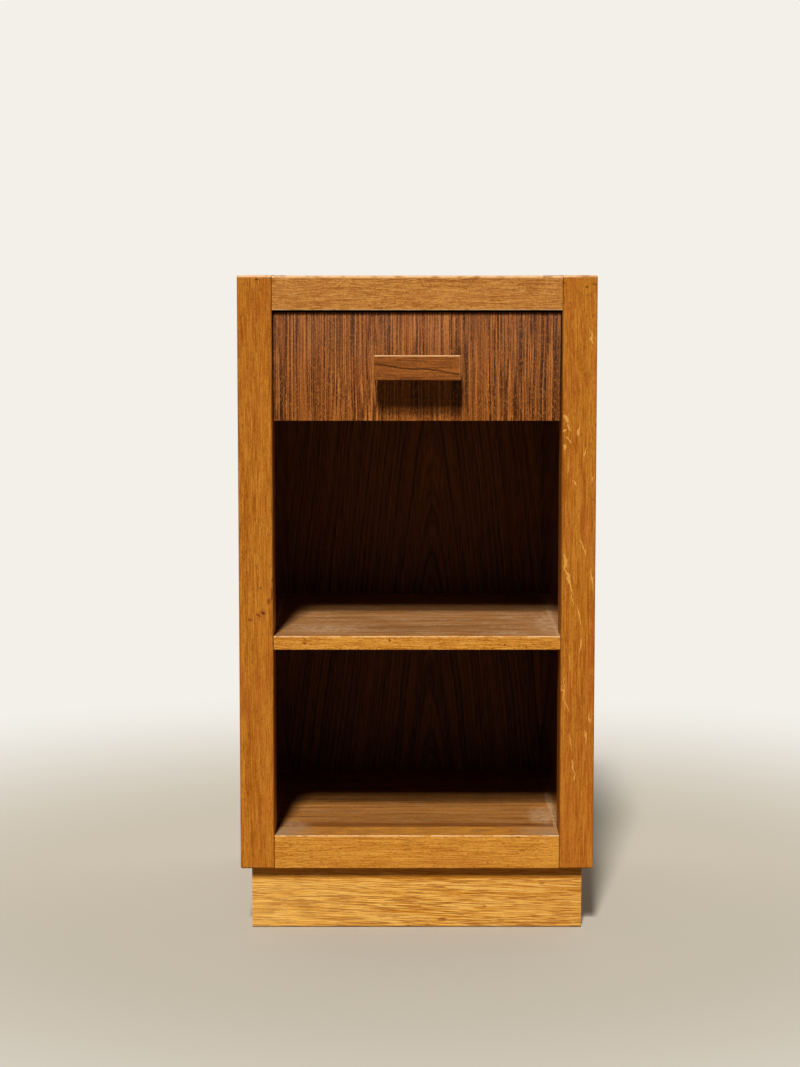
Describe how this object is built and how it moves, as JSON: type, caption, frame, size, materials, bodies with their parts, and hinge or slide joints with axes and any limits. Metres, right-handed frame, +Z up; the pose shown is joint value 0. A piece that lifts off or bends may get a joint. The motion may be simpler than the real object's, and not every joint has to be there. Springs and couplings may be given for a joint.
{
  "type": "nightstand",
  "caption": "Free-standing wooden nightstand: dovetailed drawer with a bar handle above two open compartments split by a shelf, on a set-back plinth.",
  "frame": {"origin": "on the floor, below the middle of the whole outline, handle included", "axes": "+Z up, the front faces -Y, +X to the right of someone who looks at the front"},
  "size_m": [0.36, 0.365, 0.667],
  "materials": {
    "oak": "oiled, satin",
    "plinth_oak": "oiled, satin",
    "veneered_board": "oiled, satin",
    "striped_veneer": "lacquered, satin",
    "dark_plywood": "stained, matt",
    "drawer_wood": "bare, matt",
    "pale_plywood": "bare, matt",
    "softwood": "bare, matt",
    "steel": "zinc plated"
  },
  "bodies": {
    "cabinet": {"left_post": "oak", "right_post": "oak", "top_rail": "oak", "base_rail": "oak", "shelf_lip": "oak", "left_side_board": "veneered_board", "right_side_board": "veneered_board", "top_board": "veneered_board", "base_board": "veneered_board", "shelf_board": "veneered_board", "back_board": "dark_plywood", "plinth_front": "plinth_oak", "plinth_back": "plinth_oak", "left_plinth_side": "plinth_oak", "right_plinth_side": "plinth_oak", "left_front_plinth_block": "softwood", "right_front_plinth_block": "softwood", "left_back_plinth_block": "softwood", "right_back_plinth_block": "softwood", "left_runner": "drawer_wood", "right_runner": "drawer_wood", "back_board_screws": "steel", "runner_screws": "steel", "plinth_screws": "steel"},
    "drawer": {"drawer_front": "striped_veneer", "left_drawer_side": "drawer_wood", "right_drawer_side": "drawer_wood", "drawer_back": "drawer_wood", "drawer_bottom": "pale_plywood", "handle_bar": "striped_veneer", "left_handle_spacer": "striped_veneer", "right_handle_spacer": "striped_veneer", "handle_screws": "steel", "drawer_bottom_screws": "steel"}
  },
  "joints": [
    {"name": "drawer_slide", "type": "slide", "parent": "cabinet", "child": "drawer", "axis": [0, -1, 0], "range_m": [0, 0.22]}
  ]
}
